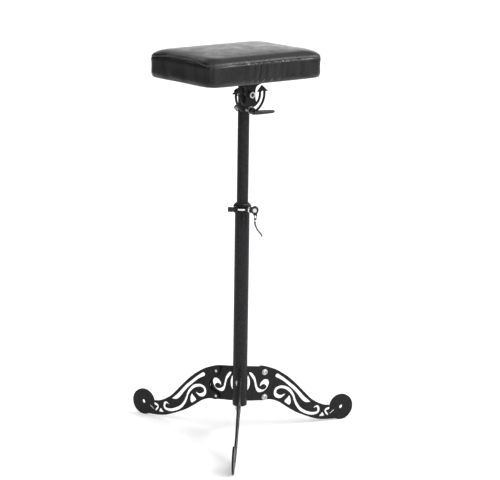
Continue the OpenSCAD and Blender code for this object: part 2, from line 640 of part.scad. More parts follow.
// Rounded rectangle whose sides draw in by pull at their middles
function pillow(l, w, r, pull) = [for (q = [0 : 3]) let (out = [cos(90 * q + 90), sin(90 * q + 90)],
    here = corner(l, w, r, q), next = corner(l, w, r, q + 1))
    each concat([for (k = [0 : arc_n - 1]) let (a = 90 * (q + k / arc_n)) here + r * [cos(a), sin(a)]],
        [for (k = [0 : side_n - 1]) let (t = k / side_n)
            here + (next - here) * t + out * (r - pull * pow(sin(180 * t), 2))])];
function corner(l, w, r, q) = [(q % 4 == 0 || q % 4 == 3 ? 1 : -1) * (l / 2 - r),
    (q % 4 < 2 ? 1 : -1) * (w / 2 - r)];
// One ring of the cushion, drawn in by inset at height z
function ring(inset, z) = let (w = cushion_w - 2 * inset) [for (p = pillow(cushion_l - 2 * inset, w,
    min(corner_r + inset / 2, 0.48 * w), side_pull * max(0, 1 - inset / edge_w))) [p[0], p[1], z]];
function board_ring(z) = [for (p = pillow(cushion_l - 2 * board_edge, cushion_w - 2 * board_edge,
    board_r, 0)) [p[0], p[1], z]];

module cushion_board() color("burlywood") at_head() translate([0, cushion_back, cushion_z])
    difference() {
        linear_extrude(board_t) polygon([for (p = board_ring(0)) [p[0], p[1]]]);
        for (x = [-screw_x, screw_x],
            y = [screw_front - plate_face, flange_len - plate_face - screw_rear])
            translate([x, y - cushion_back, -cut]) cylinder(d = screw_d + 2 * fit_gap,
                h = cut + board_t - screw_tip);
    }

module cushion() color(leather_grey) at_head() translate([0, cushion_back, cushion_z]) {
    edge_z = cushion_h - crown - edge_h;
    inner_w = cushion_w / 2 - edge_w;
    rings = concat([board_ring(board_t), board_ring(0)],
        [for (p = side_shares) ring(p[0] * tuck, p[1] * edge_z / side_shares[len(side_shares) - 1][1])],
        [for (k = [0 : edge_steps]) let (a = 90 * k / edge_steps)
            ring(edge_w * (1 - cos(a)), edge_z + edge_h * sin(a))],
        [for (k = [1 : top_steps]) let (t = k / (top_steps + 1))
            ring(edge_w + inner_w * t, cushion_h - crown + crown * sin(90 * t))]);
    n = len(rings[0]);
    m = len(rings);
    polyhedron(points = [for (r = rings) each r, [0, 0, board_t], [0, 0, cushion_h]],
        faces = concat([for (i = [0 : m - 2], j = [0 : n - 1]) let (k = (j + 1) % n)
                each [[i * n + j, (i + 1) * n + j, (i + 1) * n + k],
                    [i * n + j, (i + 1) * n + k, i * n + k]]],
            [for (j = [0 : n - 1]) [m * n, j, (j + 1) % n]],
            [for (j = [0 : n - 1]) [m * n + 1, (m - 1) * n + (j + 1) % n, (m - 1) * n + j]]));
}

outer_tube();
tube_end_plug();
guide_bush();
wing(0);  // wing_front
wing(1);  // wing_right
wing(2);  // wing_left
leg(0);  // leg_front
leg(1);  // leg_right
leg(2);  // leg_left
leg_bolts();
clamp_collar();
clamp_rod();
clamp_washer();
clamp_seat();
clamp_pin();
clamp_nut();
clamp_lever();
lower_glide();
inner_tube();
tube_top_cap();
pivot_sleeve();
clamp_sleeve();
pivot_bolt();
pivot_nut();
pivot_washers();
friction_washer();
clamp_stud();
stud_washers();
tilt_bracket();
board_screws();
cushion_board();
cushion();
tilt_lever();
tilt_lever_insert();
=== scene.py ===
import math

import bmesh
import bpy
import numpy as np
from mathutils import Matrix, Vector
from mathutils.bvhtree import BVHTree


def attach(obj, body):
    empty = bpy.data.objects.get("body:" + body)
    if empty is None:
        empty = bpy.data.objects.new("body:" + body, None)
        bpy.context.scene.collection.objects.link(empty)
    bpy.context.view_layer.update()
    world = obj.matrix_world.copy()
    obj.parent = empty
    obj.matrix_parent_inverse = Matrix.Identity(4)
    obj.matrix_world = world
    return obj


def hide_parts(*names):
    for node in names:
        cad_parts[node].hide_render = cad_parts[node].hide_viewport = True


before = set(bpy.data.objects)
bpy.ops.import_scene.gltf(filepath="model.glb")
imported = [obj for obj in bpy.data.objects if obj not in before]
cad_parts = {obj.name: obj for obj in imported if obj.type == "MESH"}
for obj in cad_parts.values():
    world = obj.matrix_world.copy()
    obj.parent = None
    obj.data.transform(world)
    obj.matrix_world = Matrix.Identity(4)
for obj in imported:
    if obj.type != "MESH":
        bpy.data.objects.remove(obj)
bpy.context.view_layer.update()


def rotation(degrees, axis):
    return Matrix.Rotation(math.radians(degrees), 4, axis)


# Turn of the head and of the clamp about the post
HEAD_DEGREES = 42.6
CLAMP_DEGREES = -1
HEAD = rotation(HEAD_DEGREES, "Z")
CLAMP = rotation(CLAMP_DEGREES, "Z")
# Directions of the front, right and left leg
LEG_DEGREES = (-90, 30, 150)

SEED = 11
rng = np.random.default_rng(SEED)
scene = bpy.context.scene


# Camera
CAMERA_AT = (0.24395, -4.1063, 1.3904)
# Degrees to the left, up from straight down, and about its own line of sight
PAN, TILT, ROLL = 3.156, 77.02, 0.854


def add_camera():
    """The photograph's camera, fitted to the post, the feet and the cushion."""
    data = bpy.data.cameras.new("camera")
    data.lens = 140.26
    data.sensor_width = 36
    data.clip_end = 200
    camera = bpy.data.objects.new("camera", data)
    turns = rotation(PAN, "Z") @ rotation(TILT, "X") @ rotation(ROLL, "Z")
    camera.matrix_world = Matrix.Translation(CAMERA_AT) @ turns
    scene.collection.objects.link(camera)
    scene.camera = camera


add_camera()


# Materials
class Shader:
    """One material: a Principled shader, and short ways to feed it with noise, ramps and bump."""

    def __init__(self, name, **sockets):
        self.mat = bpy.data.materials.new(name)
        self.mat.use_nodes = True
        self.tree = self.mat.node_tree
        self.bsdf = self.tree.nodes["Principled BSDF"]
        for key, value in sockets.items():
            self.put(self.bsdf, key.replace("_", " "), value)
        self.normal = None
        self.coord = self.add("ShaderNodeTexCoord").outputs["Object"]

    def add(self, kind, sockets=None, **props):
        node = self.tree.nodes.new(kind)
        for key, value in props.items():
            setattr(node, key, value)
        for key, value in (sockets or {}).items():
            self.put(node, key, value)
        return node

    def put(self, node, key, value):
        """Links a socket to the node's input, or writes a value there; a colour gets its alpha."""
        socket = node.inputs[key]
        if isinstance(value, bpy.types.NodeSocket):
            self.tree.links.new(value, socket)
        elif isinstance(value, (tuple, list)) and len(value) == 3 and socket.type == "RGBA":
            socket.default_value = (*value, 1)
        else:
            socket.default_value = value

    def stretch(self, scale, turn=(0, 0, 0)):
        node = self.add("ShaderNodeMapping", {"Vector": self.coord, "Scale": scale, "Rotation": turn})
        return node.outputs["Vector"]

    def noise(self, scale, detail=4, rough=0.55, vector=None):
        node = self.add("ShaderNodeTexNoise", {"Vector": vector or self.coord, "Scale": scale,
                                               "Detail": detail, "Roughness": rough})
        return node.outputs["Fac"]

    def cells(self, scale, feature="F1", vector=None):
        node = self.add("ShaderNodeTexVoronoi", {"Vector": vector or self.coord, "Scale": scale},
                        feature=feature)
        return node.outputs["Distance"]

    def span(self, value, low, high, out_low, out_high):
        """Maps low..high to out_low..out_high and clamps."""
        node = self.add("ShaderNodeMapRange", {"Value": value, "From Min": low, "From Max": high,
                                               "To Min": out_low, "To Max": out_high})
        return node.outputs["Result"]

    def mix(self, factor, a, b):
        node = self.add("ShaderNodeMix", data_type="RGBA")
        self.put(node, 0, factor)
        self.put(node, 6, a)
        self.put(node, 7, b)
        return node.outputs[2]

    def math(self, operation, a, b):
        node = self.add("ShaderNodeMath", operation=operation)
        self.put(node, 0, a)
        self.put(node, 1, b)
        return node.outputs[0]

    def round_edges(self, radius):
        self.normal = self.add("ShaderNodeBevel", {"Radius": radius}, samples=4).outputs["Normal"]

    def bump(self, height, distance, strength):
        sockets = {"Height": height, "Distance": distance, "Strength": strength}
        if self.normal:
            sockets["Normal"] = self.normal
        self.normal = self.add("ShaderNodeBump", sockets).outputs["Normal"]

    def done(self):
        if self.normal:
            self.put(self.bsdf, "Normal", self.normal)
        return self.mat


def tint(colour, factor, lift=0.0):
    return tuple(c * factor + lift for c in colour)


def powder_coat(name, colour, rough, gloss, uneven):
    """Satin black powder coat: fine orange peel, faint clouds, edges rubbed a little lighter."""
    s = Shader(name, Specular_IOR_Level=gloss)
    clouds = s.span(s.noise(scale=9, detail=5), 0.35, 0.65, 0, 1)
    tone = s.mix(clouds, tint(colour, 0.85), colour)
    sharp = s.add("ShaderNodeNewGeometry").outputs["Pointiness"]
    edge = s.span(sharp, 0.58, 0.68, 0, 1)
    patches = s.span(s.noise(scale=140, detail=3), 0.42, 0.62, 0, 1)
    rubbed = s.math("MULTIPLY", edge, patches)
    s.put(s.bsdf, "Base Color", s.mix(rubbed, tone, tint(colour, 1.6, lift=0.004)))
    handled = s.noise(scale=60, detail=4)
    s.put(s.bsdf, "Roughness", s.span(handled, 0.3, 0.7, rough - uneven, rough + uneven))
    s.round_edges(0.0005)
    s.bump(s.noise(scale=900, detail=2), distance=0.00005, strength=0.18)
    s.bump(s.noise(scale=220, detail=3), distance=0.00012, strength=0.035)
    return s.done()


def moulded_plastic(name, colour, rough):
    """Moulded plastic with a fine spark-eroded texture and slight handling shine."""
    s = Shader(name, Specular_IOR_Level=0.4)
    clouds = s.span(s.noise(scale=45, detail=4), 0.35, 0.65, 0, 1)
    s.put(s.bsdf, "Base Color", s.mix(clouds, tint(colour, 0.75), tint(colour, 1.25)))
    handled = s.noise(scale=120, detail=4)
    s.put(s.bsdf, "Roughness", s.span(handled, 0.3, 0.7, rough - 0.1, rough + 0.08))
    s.round_edges(0.0004)
    s.bump(s.cells(scale=1500), distance=0.00006, strength=0.5)
    return s.done()


def turned_steel(name, colour, rough, axis):
    """Turned steel: fine rings about an axis, faint stains and an uneven shine."""
    s = Shader(name, Metallic=1.0)
    squeeze = [0.03, 0.03, 0.03]
    squeeze[axis] = 1
    rings = s.noise(scale=900, detail=3, rough=0.6, vector=s.stretch(tuple(squeeze)))
    stains = s.span(s.noise(scale=160, detail=4), 0.35, 0.7, 0, 1)
    s.put(s.bsdf, "Base Color", s.mix(stains, tint(colour, 0.72), colour))
    s.put(s.bsdf, "Roughness", s.span(rings, 0.3, 0.7, rough - 0.06, rough + 0.12))
    s.round_edges(0.0003)
    s.bump(rings, distance=0.00004, strength=0.4)
    return s.done()


def leather(name, colour, rough, gloss):
    """Grained, lightly glossy leather cloth: pebble cells, fine creases, cloudy shine."""
    s = Shader(name, Specular_IOR_Level=gloss)
    drift = s.add("ShaderNodeTexNoise", {"Vector": s.coord, "Scale": 60.0, "Detail": 3})
    weak = s.add("ShaderNodeVectorMath", {0: drift.outputs["Color"], "Scale": 0.004}, operation="SCALE")
    warp = s.add("ShaderNodeVectorMath", {0: s.coord, 1: weak.outputs[0]}, operation="ADD").outputs[0]
    pebble = s.cells(620, "SMOOTH_F1", warp)
    crease = s.cells(95, "DISTANCE_TO_EDGE", warp)
    clouds = s.span(s.noise(scale=14, detail=5), 0.35, 0.68, 0, 1)
    s.put(s.bsdf, "Base Color", s.mix(clouds, tint(colour, 0.7), tint(colour, 1.3)))
    handled = s.span(s.noise(scale=38, detail=4), 0.3, 0.7, -0.06, 0.07)
    grain = s.span(pebble, 0.1, 0.6, rough - 0.02, rough + 0.06)
    s.put(s.bsdf, "Roughness", s.math("ADD", handled, grain))
    s.bump(pebble, distance=0.00009, strength=0.35)
    s.bump(s.span(crease, 0.0, 0.09, 0.0, 1.0), distance=0.00010, strength=0.22)
    s.bump(s.noise(scale=75, detail=4), distance=0.0006, strength=0.22)
    return s.done()


def felt(name, colour):
    """Thin non-woven cloth: matted fibres with a little sheen."""
    s = Shader(name, Roughness=0.95, Specular_IOR_Level=0.15, Sheen_Weight=0.25)
    along = s.noise(scale=700, detail=5, rough=0.7, vector=s.stretch((1, 0.25, 1), (0, 0, 0.5)))
    across = s.noise(scale=700, detail=5, rough=0.7, vector=s.stretch((0.25, 1, 1), (0, 0, -0.3)))
    fibres = s.math("ADD", along, across)
    s.put(s.bsdf, "Base Color", s.mix(s.span(fibres, 0.7, 1.3, 0, 1), tint(colour, 0.5), tint(colour, 1.5)))
    s.bump(fibres, distance=0.0002, strength=0.5)
    return s.done()


def plywood(name):
    """Plain birch board: long grain, darker streaks, rough face."""
    s = Shader(name, Roughness=0.62)
    lengthwise = s.stretch((0.25, 4, 4), (0, 0, -math.radians(HEAD_DEGREES)))
    grain = s.noise(scale=40, detail=6, rough=0.6, vector=lengthwise)
    streaks = s.span(grain, 0.35, 0.7, 0, 1)
    s.put(s.bsdf, "Base Color", s.mix(streaks, (0.62, 0.45, 0.27), (0.36, 0.22, 0.11)))
    s.bump(grain, distance=0.0002, strength=0.4)
    return s.done()


COAT = powder_coat("black_coat", (0.0072, 0.0072, 0.0077), rough=0.44, gloss=0.17, uneven=0.02)
COAT_TUBE = powder_coat("black_coat_tube", (0.0087, 0.0091, 0.0103), rough=0.42, gloss=0.185, uneven=0.006)
COAT_COLLAR = powder_coat("black_coat_collar", (0.0053, 0.0053, 0.0055), rough=0.40, gloss=0.16, uneven=0.02)
COAT_STUD = powder_coat("bolt_black", (0.0053, 0.0053, 0.0055), rough=0.34, gloss=0.16, uneven=0.03)
PLASTIC = moulded_plastic("black_plastic", (0.0063, 0.0063, 0.0066), rough=0.36)
PLASTIC_MATT = moulded_plastic("black_plastic_matt", (0.0105, 0.0105, 0.011), rough=0.52)
NYLON = moulded_plastic("white_nylon", (0.72, 0.71, 0.67), rough=0.5)
STEEL = turned_steel("bright_steel", (0.86, 0.86, 0.87), rough=0.24, axis=2)
STEEL_BOLT = turned_steel("bolt_steel", (0.60, 0.59, 0.58), rough=0.30, axis=0)
STEEL_DARK = turned_steel("plain_steel", (0.52, 0.52, 0.53), rough=0.36, axis=1)
# Dark steel, also painted shade: the pivot bolt's end is made dark for the shade in the nut's recess
STEEL_DARK_AND_SHADE = turned_steel("dark_steel_and_painted_shade", (0.046, 0.046, 0.048), rough=0.34, axis=1)
LEATHER = leather("cover_leather", (0.0069, 0.0069, 0.0072), rough=0.27, gloss=0.4)
PIPING = leather("piping_leather", (0.0105, 0.0105, 0.0109), rough=0.2, gloss=0.66)
CLOTH = felt("dust_cloth", (0.016, 0.016, 0.017))
WOOD = plywood("board_wood")

NODE_MATERIALS = {
    COAT_TUBE: ["outer_tube", "inner_tube"],
    COAT: ["wing_front", "wing_right", "wing_left", "leg_front", "leg_right", "leg_left", "tilt_bracket"],
    COAT_COLLAR: ["clamp_collar"],
    COAT_STUD: ["clamp_stud"],
    PLASTIC: ["tube_top_cap", "tilt_lever", "clamp_nut", "clamp_lever"],
    PLASTIC_MATT: ["clamp_seat", "tube_end_plug", "guide_bush", "lower_glide"],
    NYLON: ["friction_washer"],
    STEEL: ["clamp_rod", "clamp_washer", "clamp_pin", "pivot_nut", "stud_washers"],
    STEEL_BOLT: ["leg_bolts"],
    STEEL_DARK: ["pivot_sleeve", "clamp_sleeve", "board_screws"],
    # The pivot bolt's darkness is painted shade in the nut's recess
    STEEL_DARK_AND_SHADE: ["pivot_bolt", "pivot_washers", "tilt_lever_insert"],
    WOOD: ["cushion_board"],
    LEATHER: ["cushion"],
}
for material, names in NODE_MATERIALS.items():
    for name in names:
        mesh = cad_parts[name].data
        mesh.materials.clear()
        mesh.materials.append(material)


# Meshes
def piece(name, verts, faces, material, slot=None, shade_smooth=True):
    """A new mesh object in one material, with its faces turned outward."""
    mesh = bpy.data.meshes.new(name)
    mesh.from_pydata([tuple(v) for v in verts], [], faces)
    mesh.validate()
    bm = bmesh.new()
    bm.from_mesh(mesh)
    bmesh.ops.recalc_face_normals(bm, faces=bm.faces)
    bm.to_mesh(mesh)
    bm.free()
    if shade_smooth:
        mesh.polygons.foreach_set("use_smooth", [True] * len(mesh.polygons))
    mesh.materials.append(material)
    obj = bpy.data.objects.new(name, mesh)
    scene.collection.objects.link(obj)
    return obj


def ring_faces(rings, count, closed=False):
    """Quads between rings of count points that follow each other; closed joins the last to the first."""
    faces = []
    for i in range(rings if closed else rings - 1):
        here, there = i * count, (i + 1) % rings * count
        for j in range(count):
            k = (j + 1) % count
            faces.append((here + j, here + k, there + k, there + j))
    return faces


def end_caps(rings, count):
    """One face over the first ring and one over the last."""
    ring = range(count)
    return [tuple(ring)[::-1], tuple((rings - 1) * count + j for j in ring)]


def shifted(faces, by):
    return [tuple(i + by for i in face) for face in faces]


def turned(profile, sides, ribs=0, depth=0.0):
    """A closed profile of (radius, height, share of ribbing) turned about Z, with straight ribs."""
    verts = []
    faces = []
    m = len(profile)
    for j in range(sides):
        a = 2 * math.pi * j / sides
        groove = depth * (0.5 + 0.5 * math.cos(ribs * a)) ** 1.5
        for radius, height, share in profile:
            r = radius - share * groove
            verts.append((r * math.cos(a), r * math.sin(a), height))
    for j in range(sides):
        k = (j + 1) % sides
        for i in range(m):
            n = (i + 1) % m
            faces.append((j * m + i, k * m + i, k * m + n, j * m + n))
    return verts, faces


def round_bar(path, radius, sides=12, closed=True):
    """A round bar along a path, in a ring or with two flat ends."""
    n = len(path)
    up = np.array([0, 0, 1.0])
    verts = []
    for k in range(n):
        if closed:
            a, b = path[k - 1], path[(k + 1) % n]
        else:
            a, b = path[max(k - 1, 0)], path[min(k + 1, n - 1)]
        along = (b - a) / np.linalg.norm(b - a)
        u = np.cross(along, up)
        u /= np.linalg.norm(u)
        v = np.cross(u, along)
        for j in range(sides):
            c = 2 * math.pi * j / sides
            verts.append(path[k] + radius * (math.cos(c) * u + math.sin(c) * v))
    faces = ring_faces(n, sides, closed)
    if not closed:
        faces += end_caps(n, sides)
    return verts, faces


def upright_bead(heights, radii, x, y, sides=8):
    """A bead that runs upwards at x, y, with one radius for each height."""
    verts = []
    for z, r in zip(heights, radii):
        for j in range(sides):
            c = 2 * math.pi * j / sides
            verts.append((x + r * math.cos(c), y + r * math.sin(c), z))
    return verts, ring_faces(len(heights), sides) + end_caps(len(heights), sides)


def coords(obj):
    co = np.empty(len(obj.data.vertices) * 3)
    obj.data.vertices.foreach_get("co", co)
    return co.reshape(-1, 3)


def normals(obj):
    obj.data.update()
    no = np.empty(len(obj.data.vertices) * 3)
    obj.data.vertices.foreach_get("normal", no)
    return no.reshape(-1, 3)


def set_coords(obj, co):
    obj.data.vertices.foreach_set("co", np.asarray(co, float).ravel())
    obj.data.update()


def apply_modifiers(obj):
    deps = bpy.context.evaluated_depsgraph_get()
    mesh = bpy.data.meshes.new_from_object(obj.evaluated_get(deps))
    old = obj.data
    obj.modifiers.clear()
    obj.data = mesh
    bpy.data.meshes.remove(old)


def remesh(obj, size):
    mod = obj.modifiers.new("voxels", "REMESH")
    mod.mode = "VOXEL"
    mod.voxel_size = size
    mod.use_smooth_shade = True
    apply_modifiers(obj)


def bell(x, middle, width):
    return np.exp(-((x - middle) / width) ** 2)


def ease(x, low, high):
    """From 0 at low to 1 at high, with soft ends."""
    t = np.clip((x - low) / (high - low), 0, 1)
    return t * t * (3 - 2 * t)


# Cushion, in its own frame: length along X, width along Y, underside at zero height
CUSHION_L, CUSHION_W = 0.3115, 0.2220
# Its middle lies this far behind the post's axis, and its underside this high
CUSHION_BACK, CUSHION_LOW = 0.027, 0.7957
SEAT = HEAD @ Matrix.Translation((0, CUSHION_BACK, CUSHION_LOW))
CORNER_R = 0.022
# Rounded edge between the seam and the top, crown of the top, and how far a side pulls in
EDGE_W, EDGE_H = 0.0235, 0.0140
CROWN = 0.0055
PULL = 0.002
SEAM_Z = 0.0445
CUSHION_H = SEAM_Z + EDGE_H + CROWN
# How far the seam rises along the middle of a long and of a short side
RISE_LONG, RISE_SHORT = 0.0014, 0.0048
# Distance from a side's end where it begins to turn into a corner, and where it is all corner
CORNER_BEGINS, CORNER_FULL = 0.065, 0.02
# Points in a ring round the cushion
RING = 240
# How far the side's surface leans in at the seam: along the sides and at the corners
SIDE_LEAN, CORNER_LEAN = math.radians(40), math.radians(4)
# Underside, foot and side up to the seam: distance in from the outline, and height
SIDE_ROWS = [(0.06, 0.0), (0.034, 0.0), (0.027, -0.0011), (0.012, -0.0014), (0.0042, -0.0011),
             (0.0016, 0.0003), (0.0006, 0.003), (0.0003, 0.009), (0.0006, 0.018), (0.0007, 0.027),
             (0.0003, 0.036), (0.0, 0.0435)]


def seam_height(x, y):
    """The seam rides higher along the middle of each side than at the gathered corners."""
    half = CUSHION_L / 2
    long_side = 1 - ease(np.abs(x), 0.085, 0.150)
    short_side = (1 - ease(np.abs(y), 0.035, 0.108)) * ease(np.abs(x), half - 0.012, half - 0.004)
    return SEAM_Z + RISE_LONG * long_side + RISE_SHORT * short_side


def outline(inset, count=RING):
    """Points round the cushion, drawn in by inset: sides that pull in a little, and round corners."""
    half_l, half_w = CUSHION_L / 2 - inset, CUSHION_W / 2 - inset
    r = min(CORNER_R + inset / 2, 0.96 * half_w)
    x, y = half_l - r, half_w - r
    centres = [(x, y), (-x, y), (-x, -y), (x, -y)]
    straight = [x * 2, y * 2]
    arc = math.pi / 2 * r
    total = 2 * (straight[0] + straight[1]) + 4 * arc
    pull = PULL * max(0.0, 1 - inset / EDGE_W)
    points = []
    for k in range(count):
        s = (k + 0.5) / count * total
        for q in range(4):
            start = math.pi / 2 * q
            cx, cy = centres[q]
            if s < arc:
                a = start + s / r
                points.append((cx + r * math.cos(a), cy + r * math.sin(a)))
                break
            s -= arc
            run = straight[q % 2]
            if s < run:
                t = s / run
                out = (math.cos(start + math.pi / 2), math.sin(start + math.pi / 2))
                nx, ny = centres[(q + 1) % 4]
                d = r - pull * math.sin(math.pi * t) ** 2
                points.append((cx + (nx - cx) * t + out[0] * d, cy + (ny - cy) * t + out[1] * d))
                break
            s -= run
    return np.array(points)


def top_edge(lean, steps=10):
    """Rows over the rounded edge, from a surface that leans in by lean at the seam to the flat top."""
    rows = []
    for k in range(steps + 1):
        a = lean + (math.pi / 2 - lean) * k / steps
        inset = EDGE_W * (1 - math.cos(a) / math.cos(lean))
        rise = EDGE_H * (math.sin(a) - math.sin(lean)) / (1 - math.sin(lean))
        rows.append((inset, SEAM_Z + rise))
    return rows


def crown_rows(steps=8):
    """Rows over the top, towards its middle; crown_height then sets their true heights."""
    inner = CUSHION_W / 2 - EDGE_W
    return [(EDGE_W + inner * (k / steps) * 0.97, CUSHION_H) for k in range(1, steps)]


def crown_height(ring):
    """Height of the crowned top, which falls towards all four edges."""
    across = np.clip(np.abs(ring) / (CUSHION_L / 2 - EDGE_W, CUSHION_W / 2 - EDGE_W), 0, 1) ** 2.3
    return CUSHION_H - CROWN * (1 - (1 - across[:, :1]) * (1 - across[:, 1:]))


def cushion_start(shrink):
    """The cushion before it is filled: crowned top, rounded edge, sides that pull in, tucked foot."""
    at_sides = SIDE_ROWS + top_edge(SIDE_LEAN) + crown_rows()
    at_corners = SIDE_ROWS + top_edge(CORNER_LEAN) + crown_rows()
    half_l, half_w = CUSHION_L / 2, CUSHION_W / 2
    verts = []
    for (inset, z), (corner_inset, corner_z) in zip(at_sides, at_corners):
        ring = outline(inset + shrink)
        full = outline(corner_inset + shrink)
        corner = (ease(np.abs(ring[:, 0]), half_l - CORNER_BEGINS, half_l - CORNER_FULL)
                  * ease(np.abs(ring[:, 1]), half_w - CORNER_BEGINS, half_w - CORNER_FULL))[:, None]
        ring = ring * (1 - corner) + full * corner
        height = z * (1 - corner) + corner_z * corner
        if inset > EDGE_W and z > SEAM_Z:
            height = crown_height(ring)
        if z > 0.02:
            height = height - shrink
        verts += [(p[0], p[1], float(h)) for p, h in zip(ring, height[:, 0])]
    rings = len(at_sides)
    faces = ring_faces(rings, RING)
    low_middle, top_middle = len(verts), len(verts) + 1
    verts += [(0, 0, 0), (0, 0, CUSHION_H - shrink)]
    last = (rings - 1) * RING
    for j in range(RING):
        k = (j + 1) % RING
        faces.append((low_middle, k, j))
        faces.append((top_middle, last + j, last + k))
    return verts, faces


def blow_up(obj, pressure, frames=20):
    """Runs the closed cover as cloth under pressure, held at its underside, and gives the moved points."""
    co = coords(obj)
    held = obj.vertex_groups.new(name="held")
    held.add([int(i) for i in np.nonzero(co[:, 2] < 0.003)[0]], 1.0, "REPLACE")
    mod = obj.modifiers.new("filling", "CLOTH")
    s = mod.settings
    s.quality = 6
    s.mass = 0.25
    s.tension_stiffness = 18
    s.compression_stiffness = 12
    s.shear_stiffness = 8
    s.bending_stiffness = 0.8
    s.use_pressure = True
    s.uniform_pressure_force = pressure
    s.effector_weights.gravity = 0
    s.vertex_group_mass = "held"
    mod.collision_settings.use_self_collision = False
    mod.point_cache.frame_start = 1
    mod.point_cache.frame_end = frames
    for f in range(1, frames + 1):
        scene.frame_set(f)
    blown = obj.evaluated_get(bpy.context.evaluated_depsgraph_get())
    mesh = blown.to_mesh()
    moved = np.empty(len(mesh.vertices) * 3)
    mesh.vertices.foreach_get("co", moved)
    blown.to_mesh_clear()
    obj.modifiers.clear()
    obj.vertex_groups.clear()
    scene.frame_set(1)
    return moved.reshape(-1, 3)


def even_out(obj, values, rounds):
    """Averages one value per point with its neighbours', many times."""
    n = len(values)
    edges = np.empty(len(obj.data.edges) * 2, int)
    obj.data.edges.foreach_get("vertices", edges)
    a, b = edges.reshape(-1, 2).T
    count = np.bincount(a, minlength=n) + np.bincount(b, minlength=n)
    for _ in range(rounds):
        near = np.bincount(a, values[b], n) + np.bincount(b, values[a], n)
        values = 0.5 * values + 0.5 * near / np.maximum(count, 1)
    return values


def fill(obj, pressure, out_cap, in_cap):
    """Fills the cover: of the simulated swelling, the capped and evened part along the surface is kept."""
    before = coords(obj)
    along = normals(obj)
    swell = np.sum((blow_up(obj, pressure) - before) * along, axis=1)
    swell = even_out(obj, np.clip(swell, -in_cap, out_cap), rounds=60)
    set_coords(obj, before + along * swell[:, None])


def waves(co, seed, scale, count=9):
    """Smooth seeded undulation: crossed sine waves of about one wavelength."""
    local = np.random.default_rng(seed)
    total = np.zeros(len(co))
    for _ in range(count):
        d = local.normal(size=3)
        d /= np.linalg.norm(d)
        length = scale * local.uniform(0.7, 1.5)
        total += np.sin(co @ d * 2 * math.pi / length + local.uniform(0, 6.28))
    return total / math.sqrt(count)


# Puckers of the long front side: place along it, width and height
FRONT_PUCKERS = ((-0.0430, 0.0042, 0.0008), (-0.0265, 0.0036, 0.0022), (-0.0125, 0.0037, 0.0027),
                 (0.0095, 0.0040, 0.0028), (0.0305, 0.0045, 0.0010), (0.0465, 0.0040, 0.0006),
                 (-0.0680, 0.0050, 0.0005), (0.0850, 0.0055, 0.0005))
# Line of the puckers: its lean to the right at the seam, its curve to the left, and its height
BOW_RIGHT, BOW_LEFT, PUCKER_DROP = 0.0101, 0.0166, 0.043
# Hollows beside a pucker: distance in its widths, and depth as a share of its height
HOLLOW_AT, HOLLOW_DEPTH = 2.1, 0.35
# Slanting folds that fall towards the front side's far end: level where they start, and height
CORNER_FOLDS = ((0.0385, 0.0009), (0.0295, 0.0011), (0.0200, 0.0007))
FOLD_START, FOLD_SLOPE, FOLD_W = 0.098, 0.40, 0.0032
# Folds of the back and of the two short sides: place, width, height and lean
REAR_FOLDS = ((-0.03, 0.006, 0.0011, 0.2), (0.05, 0.005, 0.0010, -0.2), (0.1, 0.006, 0.0008, 0.3),
              (-0.09, 0.005, 0.0009, 0.0))
END_FOLDS = ((-0.05, 0.007, 0.0005, 0.2), (0.02, 0.006, 0.0004, -0.1), (0.062, 0.006, 0.0006, 0.2))
# Heights of the seam's groove, the corner gathers, and the broad and the fine unevenness
GROOVE, PLEAT, BROAD, FINE = 0.0013, 0.0010, 0.0005, 0.0002
# The dressed cover goes no lower than this
LOWEST = -0.0016


def front_puckers(x, z, seam):
    """Upright puckers along one bowed line, each between two shallow hollows."""
    down = np.clip((seam - z) / PUCKER_DROP, 0, 1)
    bow = BOW_RIGHT * down - BOW_LEFT * down ** 2
    total = np.zeros(len(x))
    for along, width, height in FRONT_PUCKERS:
        mid = along + bow
        away = HOLLOW_AT * width
        hollows = bell(x, mid - away, width) + bell(x, mid + away, width)
        total += height * (bell(x, mid, width) - HOLLOW_DEPTH * hollows)
    return total


def corner_folds(x, z):
    total = np.zeros(len(x))
    for level, height in CORNER_FOLDS:
        line = level - FOLD_SLOPE * (x - FOLD_START)
        total += height * bell(z, line, FOLD_W)
    return total * ease(x, FOLD_START - 0.010, FOLD_START + 0.020)


def leaning_folds(folds, place, z):
    total = np.zeros(len(place))
    for along, width, height, lean in folds:
        total += height * bell(place, along + lean * (z - SEAM_Z), width)
    return total


def corner_pleats(x, y, z):
    """Gathers round the four corners, shifted from corner to corner."""
    angle = np.arctan2(np.abs(y) - (CUSHION_W / 2 - CORNER_R), np.abs(x) - (CUSHION_L / 2 - CORNER_R))
    shift = 0.63 + 0.9 * (np.sign(x) + 1) + 0.6 * (np.sign(y) + 1)
    return np.sin(angle * 12 + shift + 8 * (z - SEAM_Z))


